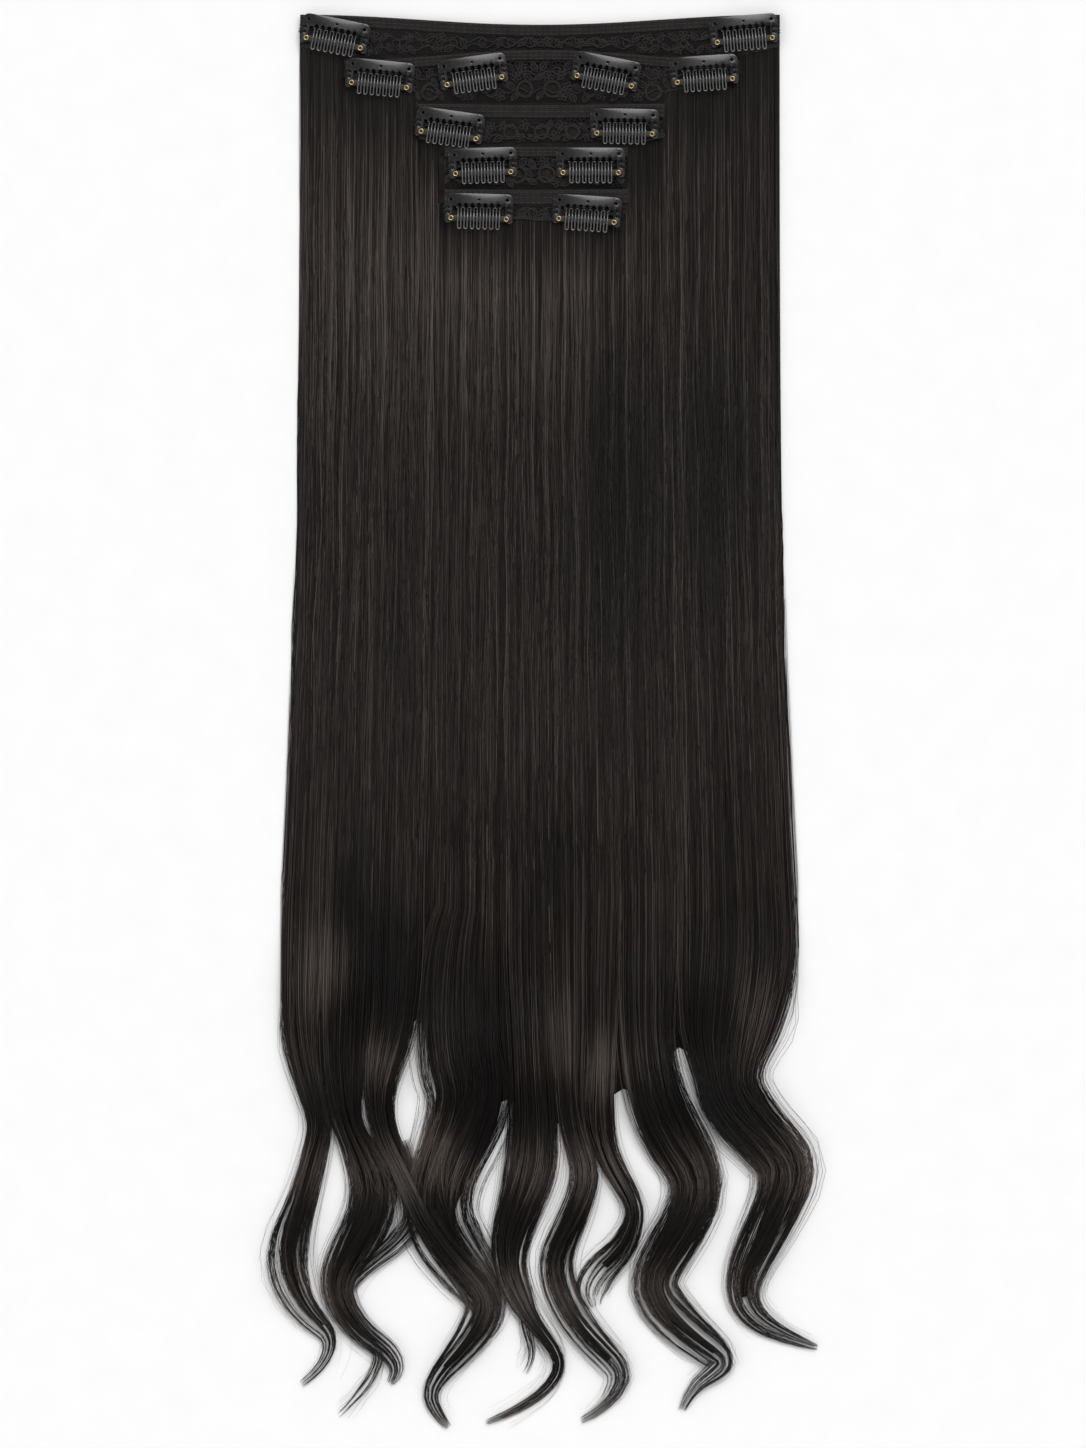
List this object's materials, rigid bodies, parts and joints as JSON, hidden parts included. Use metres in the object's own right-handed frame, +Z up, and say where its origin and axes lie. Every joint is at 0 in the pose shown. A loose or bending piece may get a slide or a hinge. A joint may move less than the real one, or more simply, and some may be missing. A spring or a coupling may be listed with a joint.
{
  "type": "clip in hair extension",
  "caption": "Long dark hair extension in tiered rows on lace backing, straight with wavy ends, with black snap comb clips along its bands.",
  "frame": {"origin": "on the surface it lies on, under the middle of the whole piece", "axes": "+Z up from the surface towards the clips, +Y towards the top band, +X to the right as seen from the clips' side"},
  "size_m": [0.2598, 0.6674, 0.0156],
  "materials": {
    "hair": "satin",
    "lace": "matte",
    "band": "matte",
    "clip_metal": "gloss",
    "rivet": "satin",
    "thread": "matte"
  },
  "bodies": {
    "extension": {"weft_band_1": "band", "lace_panel_1": "lace", "hair_fall_1": "hair", "weft_band_2": "band", "lace_panel_2": "lace", "hair_fall_2": "hair", "weft_band_3": "band", "lace_panel_3": "lace", "hair_fall_3": "hair", "weft_band_4": "band", "lace_panel_4": "lace", "hair_fall_4": "hair", "weft_band_5": "band", "lace_panel_5": "lace", "hair_fall_5": "hair", "clip_frame_1": "clip_metal", "clip_bar_1": "clip_metal", "clip_frame_2": "clip_metal", "clip_bar_2": "clip_metal", "clip_frame_3": "clip_metal", "clip_bar_3": "clip_metal", "clip_frame_4": "clip_metal", "clip_bar_4": "clip_metal", "clip_frame_5": "clip_metal", "clip_bar_5": "clip_metal", "clip_frame_6": "clip_metal", "clip_bar_6": "clip_metal", "clip_frame_7": "clip_metal", "clip_bar_7": "clip_metal", "clip_frame_8": "clip_metal", "clip_bar_8": "clip_metal", "clip_frame_9": "clip_metal", "clip_bar_9": "clip_metal", "clip_frame_10": "clip_metal", "clip_bar_10": "clip_metal", "clip_frame_11": "clip_metal", "clip_bar_11": "clip_metal", "clip_frame_12": "clip_metal", "clip_bar_12": "clip_metal"},
    "comb_1": {"clip_comb_1": "clip_metal"},
    "comb_2": {"clip_comb_2": "clip_metal"},
    "comb_3": {"clip_comb_3": "clip_metal"},
    "comb_4": {"clip_comb_4": "clip_metal"},
    "comb_5": {"clip_comb_5": "clip_metal"},
    "comb_6": {"clip_comb_6": "clip_metal"},
    "comb_7": {"clip_comb_7": "clip_metal"},
    "comb_8": {"clip_comb_8": "clip_metal"},
    "comb_9": {"clip_comb_9": "clip_metal"},
    "comb_10": {"clip_comb_10": "clip_metal"},
    "comb_11": {"clip_comb_11": "clip_metal"},
    "comb_12": {"clip_comb_12": "clip_metal"}
  },
  "joints": [
    {"name": "comb_1_lift", "type": "hinge", "parent": "extension", "child": "comb_1", "pos_m": [-0.09972, 0.32455, 0.00405], "axis": [-0.9816, 0.1908, 0], "range_deg": [0, 35]},
    {"name": "comb_2_lift", "type": "hinge", "parent": "extension", "child": "comb_2", "pos_m": [0.09233, 0.32598, 0.00405], "axis": [-0.9962, -0.0872, 0], "range_deg": [0, 35]},
    {"name": "comb_3_lift", "type": "hinge", "parent": "extension", "child": "comb_3", "pos_m": [-0.07865, 0.30456, 0.00635], "axis": [-0.9954, 0.0958, 0], "range_deg": [0, 35]},
    {"name": "comb_4_lift", "type": "hinge", "parent": "extension", "child": "comb_4", "pos_m": [-0.03506, 0.30647, 0.00635], "axis": [-0.9903, -0.1392, 0], "range_deg": [0, 35]},
    {"name": "comb_5_lift", "type": "hinge", "parent": "extension", "child": "comb_5", "pos_m": [0.02763, 0.30646, 0.00635], "axis": [-0.9816, 0.1908, 0], "range_deg": [0, 35]},
    {"name": "comb_6_lift", "type": "hinge", "parent": "extension", "child": "comb_6", "pos_m": [0.07358, 0.30672, 0.00635], "axis": [-0.9976, -0.0698, 0], "range_deg": [0, 35]},
    {"name": "comb_7_lift", "type": "hinge", "parent": "extension", "child": "comb_7", "pos_m": [-0.04574, 0.28082, 0.00865], "axis": [-0.9903, 0.1392, 0], "range_deg": [0, 35]},
    {"name": "comb_8_lift", "type": "hinge", "parent": "extension", "child": "comb_8", "pos_m": [0.03623, 0.28157, 0.00865], "axis": [-0.9998, 0.0175, 0], "range_deg": [0, 35]},
    {"name": "comb_9_lift", "type": "hinge", "parent": "extension", "child": "comb_9", "pos_m": [-0.03036, 0.26298, 0.01095], "axis": [-0.9994, -0.0349, 0], "range_deg": [0, 35]},
    {"name": "comb_10_lift", "type": "hinge", "parent": "extension", "child": "comb_10", "pos_m": [0.02028, 0.26306, 0.01095], "axis": [-1, 0, 0], "range_deg": [0, 35]},
    {"name": "comb_11_lift", "type": "hinge", "parent": "extension", "child": "comb_11", "pos_m": [-0.03213, 0.24132, 0.01325], "axis": [-0.9997, 0.0262, 0], "range_deg": [0, 35]},
    {"name": "comb_12_lift", "type": "hinge", "parent": "extension", "child": "comb_12", "pos_m": [0.01863, 0.2404, 0.01325], "axis": [-0.9976, 0.0698, 0], "range_deg": [0, 35]}
  ]
}
